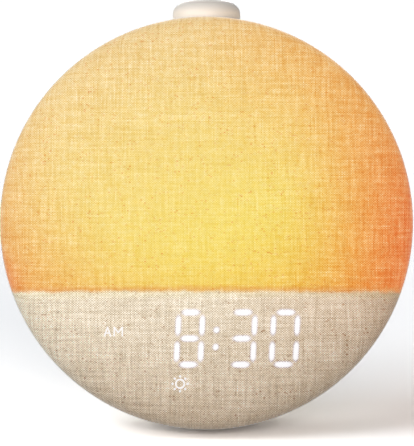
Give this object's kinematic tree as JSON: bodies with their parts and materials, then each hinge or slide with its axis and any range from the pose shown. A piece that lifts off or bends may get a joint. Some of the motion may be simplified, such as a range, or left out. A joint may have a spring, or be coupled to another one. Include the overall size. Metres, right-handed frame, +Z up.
{
  "type": "sunrise alarm clock",
  "caption": "Round fabric-covered sunrise alarm clock that leans back on a low foot, with a glowing face, digits seen through the linen, a top button and rear dials.",
  "frame": {"origin": "middle of the foot's underside, on the surface that the clock stands on", "axes": "+Z up, +Y from the face towards the back, +X to the right seen from the front"},
  "size_m": [0.175, 0.0932, 0.1812],
  "materials": {
    "linen_cover": "plain linen weave, stretched tight",
    "dome_white": "milky diffuser plastic",
    "housing_plastic": "fine moulded texture",
    "back_plastic": "fine moulded texture",
    "button_plastic": "smooth satin",
    "tray_white": "bright reflective white",
    "board_white": "white solder mask",
    "led_phosphor": "phosphor-coated",
    "film_white": "frosted film",
    "mask_black": "light-tight black",
    "pipe_acrylic": "polished acrylic",
    "board_green": "green solder mask",
    "chip_led": "clear resin",
    "chassis_grey": "moulded plastic",
    "ballast_iron": "cast",
    "plinth_grey": "fine moulded texture",
    "pad_rubber": "soft matt",
    "chip_black": "moulded resin",
    "radio_can": "tinned shield",
    "connector_ivory": "moulded nylon",
    "cell_steel": "stamped",
    "jack_black": "moulded",
    "ribbon_grey": "ribbed cable",
    "wire_red": "insulation",
    "dial_plastic": "satin",
    "shaft_steel": "turned",
    "nut_brass": "plated",
    "switch_black": "moulded",
    "acetal_white": "moulded acetal",
    "grille_metal": "powder coat",
    "gasket_foam": "foam",
    "basket_steel": "pressed and painted",
    "cone_paper": "pressed paper",
    "coil_copper": "enamelled wire",
    "spider_cloth": "resin-dipped cloth",
    "magnet_ferrite": "pressed ferrite",
    "plate_steel": "zinc plated",
    "box_plastic": "moulded plastic",
    "spring_steel": "drawn wire",
    "screw_steel": "zinc plated"
  },
  "bodies": {
    "housing": {"fabric_cover": "linen_cover", "diffuser_dome": "dome_white", "mid_housing": "housing_plastic", "rear_cover": "back_plastic", "button_collar": "button_plastic", "reflector_tray": "tray_white", "led_board": "board_white", "sunrise_leds": "led_phosphor", "diffuser_sheet": "film_white", "light_mask": "mask_black", "digit_pipes": "pipe_acrylic", "icon_lenses": "pipe_acrylic", "display_board": "board_green", "display_leds": "chip_led", "chassis_plate": "chassis_grey", "ballast_weight": "ballast_iron", "base_plinth": "plinth_grey", "foot_pad": "pad_rubber", "main_board": "board_green", "board_parts": "chip_black", "radio_module": "radio_can", "board_connectors": "connector_ivory", "coin_cell_holder": "chip_black", "coin_cell": "cell_steel", "dc_jack": "jack_black", "display_ribbon": "ribbon_grey", "wire_harness": "wire_red", "encoders": "switch_black", "encoder_nuts": "nut_brass", "alarm_switch": "switch_black", "speaker_grille": "grille_metal", "speaker_gasket": "gasket_foam", "speaker_basket": "basket_steel", "speaker_surround": "gasket_foam", "speaker_spider": "spider_cloth", "speaker_magnet": "magnet_ferrite", "magnet_plates": "plate_steel", "speaker_box": "box_plastic", "button_spring": "spring_steel", "button_board": "board_green", "tact_switch": "switch_black", "housing_screws": "screw_steel", "case_screws": "screw_steel", "board_screws": "screw_steel", "display_screws": "screw_steel"},
    "button": {"button_cap": "button_plastic", "button_stem": "acetal_white", "stem_clip": "spring_steel", "switch_plunger": "acetal_white"},
    "volume_knob": {"volume_dial": "dial_plastic", "volume_shaft": "shaft_steel"},
    "brightness_knob": {"brightness_dial": "dial_plastic", "brightness_shaft": "shaft_steel"},
    "alarm_slider": {"alarm_knob": "dial_plastic", "alarm_carrier": "acetal_white", "switch_lever": "acetal_white"},
    "cone_assembly": {"speaker_cone": "cone_paper", "dust_cap": "cone_paper", "voice_coil": "coil_copper"}
  },
  "joints": [
    {"name": "button_press", "type": "slide", "parent": "housing", "child": "button", "axis": [0, -0.1736, -0.9848], "range_m": [0, 0.0015], "stiffness_N_per_m": 1000, "springref_m": -0.001, "deforming": ["button_spring"]},
    {"name": "volume_turn", "type": "hinge", "parent": "housing", "child": "volume_knob", "pos_m": [-0.033, 0.03385, 0.10846], "axis": [0, 0.9848, -0.1736], "continuous": true},
    {"name": "brightness_turn", "type": "hinge", "parent": "housing", "child": "brightness_knob", "pos_m": [0.033, 0.03385, 0.10846], "axis": [0, 0.9848, -0.1736], "continuous": true},
    {"name": "alarm_slide", "type": "slide", "parent": "housing", "child": "alarm_slider", "axis": [1, 0, 0], "range_m": [0, 0.004]},
    {"name": "cone_travel", "type": "slide", "parent": "housing", "child": "cone_assembly", "axis": [0, 0.9848, -0.1736], "range_m": [-0.001, 0.001], "stiffness_N_per_m": 1500, "deforming": ["speaker_surround", "speaker_spider"]}
  ]
}
